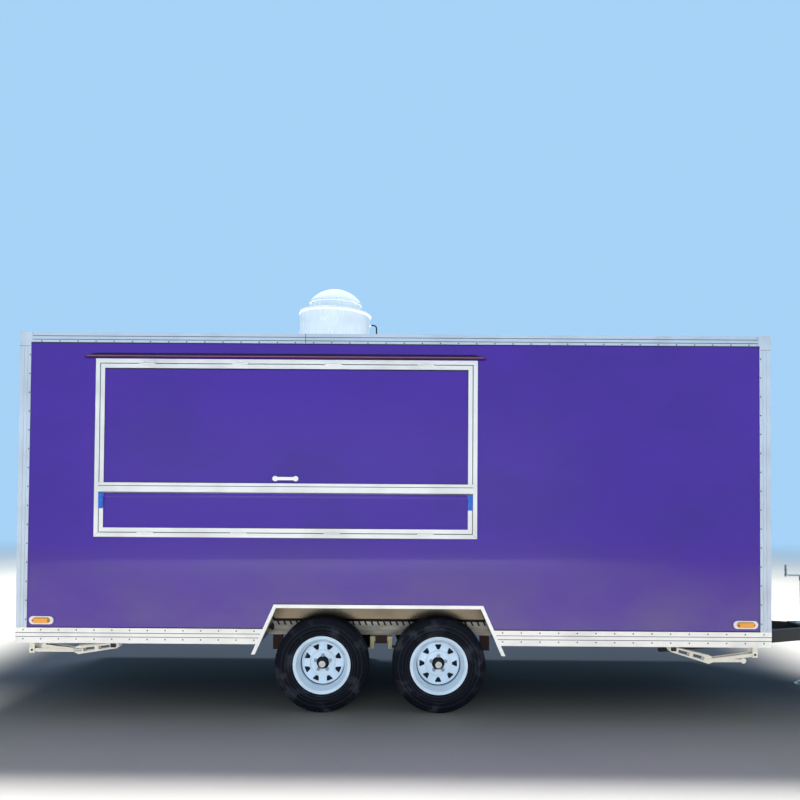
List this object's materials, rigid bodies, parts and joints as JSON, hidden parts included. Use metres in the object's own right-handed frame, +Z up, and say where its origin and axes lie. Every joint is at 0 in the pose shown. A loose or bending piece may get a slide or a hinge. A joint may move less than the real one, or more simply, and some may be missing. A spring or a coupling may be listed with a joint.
{
  "type": "tandem-axle food trailer",
  "caption": "Purple box food trailer with a lifting serving hatch, fold-down shelf, roof fan, sprung tandem wheels, corner stabilisers and an A-frame drawbar.",
  "frame": {"origin": "on the ground below the middle of the whole trailer, lamps and drawbar included", "axes": "+X towards the tow end, -Y towards the serving side, +Z up"},
  "size_m": [6.73, 2.164, 3.3857],
  "materials": {
    "purple_panel": "gloss",
    "roof_white": "satin",
    "trim_aluminium": "satin",
    "maroon_rail": "gloss",
    "white_handle": "gloss",
    "blue_film": "satin",
    "floor_board": "matte",
    "galvanised": "satin",
    "frame_steel": "satin",
    "coupler_zinc": "satin",
    "strut_black": "satin",
    "strut_chrome": "polished",
    "lamp_white": "gloss",
    "amber_lens": "gloss",
    "red_lens": "gloss",
    "fan_aluminium": "satin",
    "cable_black": "matte",
    "tyre_rubber": "matte",
    "rim_silver": "gloss",
    "hub_steel": "satin"
  },
  "bodies": {
    "trailer": {"serving_wall": "purple_panel", "far_wall": "purple_panel", "front_wall": "purple_panel", "rear_wall": "purple_panel", "roof_panel": "roof_white", "top_rails": "trim_aluminium", "corner_posts": "trim_aluminium", "skirt_rails": "trim_aluminium", "window_frame": "trim_aluminium", "door_surround": "trim_aluminium", "arch_trims": "trim_aluminium", "drip_rail": "maroon_rail", "floor_panel": "floor_board", "wheel_boxes": "galvanised", "stabiliser_mounts": "galvanised", "equalisers": "galvanised", "main_rails": "frame_steel", "cross_members": "frame_steel", "drawbar": "frame_steel", "axles": "frame_steel", "leaf_springs": "frame_steel", "coupler": "coupler_zinc", "tongue_jack": "coupler_zinc", "lamp_bases": "lamp_white", "marker_lenses": "amber_lens", "tail_lenses": "red_lens", "fan_housing": "fan_aluminium", "fan_cowl": "fan_aluminium", "fan_cable": "cable_black"},
    "wheel_rear_serving": {"tyre_rear_serving": "tyre_rubber", "rim_rear_serving": "rim_silver", "hub_rear_serving": "hub_steel"},
    "wheel_rear_far": {"tyre_rear_far": "tyre_rubber", "rim_rear_far": "rim_silver", "hub_rear_far": "hub_steel"},
    "wheel_front_serving": {"tyre_front_serving": "tyre_rubber", "rim_front_serving": "rim_silver", "hub_front_serving": "hub_steel"},
    "wheel_front_far": {"tyre_front_far": "tyre_rubber", "rim_front_far": "rim_silver", "hub_front_far": "hub_steel"},
    "hatch": {"hatch_frame": "trim_aluminium", "hatch_panel": "purple_panel", "hatch_handle": "white_handle"},
    "shelf_flap": {"flap_frame": "trim_aluminium", "flap_panel": "purple_panel", "flap_latches": "blue_film"},
    "door": {"door_frame": "trim_aluminium", "door_panel": "purple_panel"},
    "hatch_cylinders": {"strut_cylinders": "strut_black"},
    "hatch_rods": {"strut_rods": "strut_chrome"},
    "jack_foot": {"jack_leg": "coupler_zinc"},
    "stabiliser_strut_rear_serving": {"stabiliser_strut_rear_serving": "galvanised"},
    "stabiliser_leg_rear_serving": {"stabiliser_leg_rear_serving": "galvanised"},
    "stabiliser_strut_rear_far": {"stabiliser_strut_rear_far": "galvanised"},
    "stabiliser_leg_rear_far": {"stabiliser_leg_rear_far": "galvanised"},
    "stabiliser_strut_front_serving": {"stabiliser_strut_front_serving": "galvanised"},
    "stabiliser_leg_front_serving": {"stabiliser_leg_front_serving": "galvanised"},
    "stabiliser_strut_front_far": {"stabiliser_strut_front_far": "galvanised"},
    "stabiliser_leg_front_far": {"stabiliser_leg_front_far": "galvanised"}
  },
  "joints": [
    {"name": "wheel_rear_serving_spin", "type": "hinge", "parent": "trailer", "child": "wheel_rear_serving", "pos_m": [-1.112, -0.8975, 0.346], "axis": [0, 1, 0], "continuous": true},
    {"name": "wheel_rear_far_spin", "type": "hinge", "parent": "trailer", "child": "wheel_rear_far", "pos_m": [-1.112, 0.8975, 0.346], "axis": [0, 1, 0], "continuous": true},
    {"name": "wheel_front_serving_spin", "type": "hinge", "parent": "trailer", "child": "wheel_front_serving", "pos_m": [-0.248, -0.8975, 0.346], "axis": [0, 1, 0], "continuous": true},
    {"name": "wheel_front_far_spin", "type": "hinge", "parent": "trailer", "child": "wheel_front_far", "pos_m": [-0.248, 0.8975, 0.346], "axis": [0, 1, 0], "continuous": true},
    {"name": "hatch_lift", "type": "hinge", "parent": "trailer", "child": "hatch", "pos_m": [-1.3795, -1.062, 2.559], "axis": [-1, 0, 0], "range_deg": [0, 95]},
    {"name": "shelf_fold", "type": "hinge", "parent": "trailer", "child": "shelf_flap", "pos_m": [-1.3795, -1.062, 1.319], "axis": [1, 0, 0], "range_deg": [0, 90]},
    {"name": "door_swing", "type": "hinge", "parent": "trailer", "child": "door", "pos_m": [-3.348, 0.647, 1.6], "axis": [0, 0, -1], "range_deg": [0, 110]},
    {"name": "cylinder_swing", "type": "hinge", "parent": "trailer", "child": "hatch_cylinders", "pos_m": [-1.3795, -0.996, 2.419], "axis": [-1, 0, 0], "range_deg": [0, 99.83]},
    {"name": "rod_slide", "type": "slide", "parent": "hatch_cylinders", "child": "hatch_rods", "axis": [0, 0, -1], "range_m": [0, 0.2212]},
    {"name": "jack_raise", "type": "slide", "parent": "trailer", "child": "jack_foot", "axis": [0, 0, 1], "range_m": [0, 0.3]},
    {"name": "stabiliser_rear_serving_drop", "type": "hinge", "parent": "trailer", "child": "stabiliser_strut_rear_serving", "pos_m": [-3.273, -0.9, 0.434], "axis": [0, 1, 0], "range_deg": [0, 43.86]},
    {"name": "stabiliser_rear_serving_knee", "type": "hinge", "parent": "stabiliser_strut_rear_serving", "child": "stabiliser_leg_rear_serving", "pos_m": [-2.943, -0.9, 0.43283], "axis": [0, -1, 0], "range_deg": [0, 97.5]},
    {"name": "stabiliser_rear_far_drop", "type": "hinge", "parent": "trailer", "child": "stabiliser_strut_rear_far", "pos_m": [-3.273, 0.9, 0.434], "axis": [0, 1, 0], "range_deg": [0, 43.86]},
    {"name": "stabiliser_rear_far_knee", "type": "hinge", "parent": "stabiliser_strut_rear_far", "child": "stabiliser_leg_rear_far", "pos_m": [-2.943, 0.9, 0.43283], "axis": [0, -1, 0], "range_deg": [0, 97.5]},
    {"name": "stabiliser_front_serving_drop", "type": "hinge", "parent": "trailer", "child": "stabiliser_strut_front_serving", "pos_m": [2.103, -0.9, 0.434], "axis": [0, -1, 0], "range_deg": [-7.27, 36.59]},
    {"name": "stabiliser_front_serving_knee", "type": "hinge", "parent": "stabiliser_strut_front_serving", "child": "stabiliser_leg_front_serving", "pos_m": [1.77581, -0.9, 0.39106], "axis": [0, 1, 0], "range_deg": [-16.5, 82.3]},
    {"name": "stabiliser_front_far_drop", "type": "hinge", "parent": "trailer", "child": "stabiliser_strut_front_far", "pos_m": [2.103, 0.9, 0.434], "axis": [0, -1, 0], "range_deg": [-7.27, 36.59]},
    {"name": "stabiliser_front_far_knee", "type": "hinge", "parent": "stabiliser_strut_front_far", "child": "stabiliser_leg_front_far", "pos_m": [1.77581, 0.9, 0.39106], "axis": [0, 1, 0], "range_deg": [-16.5, 82.3]}
  ],
  "couplings": [
    {"joint": "cylinder_swing", "follows": "hatch_lift", "ratio": 1.0498},
    {"joint": "rod_slide", "follows": "hatch_lift", "m_per_rad": 0.13314},
    {"joint": "stabiliser_rear_serving_knee", "follows": "stabiliser_rear_serving_drop", "ratio": 2.2202},
    {"joint": "stabiliser_rear_far_knee", "follows": "stabiliser_rear_far_drop", "ratio": 2.2202},
    {"joint": "stabiliser_front_serving_knee", "follows": "stabiliser_front_serving_drop", "ratio": 2.2441},
    {"joint": "stabiliser_front_far_knee", "follows": "stabiliser_front_far_drop", "ratio": 2.2441}
  ]
}
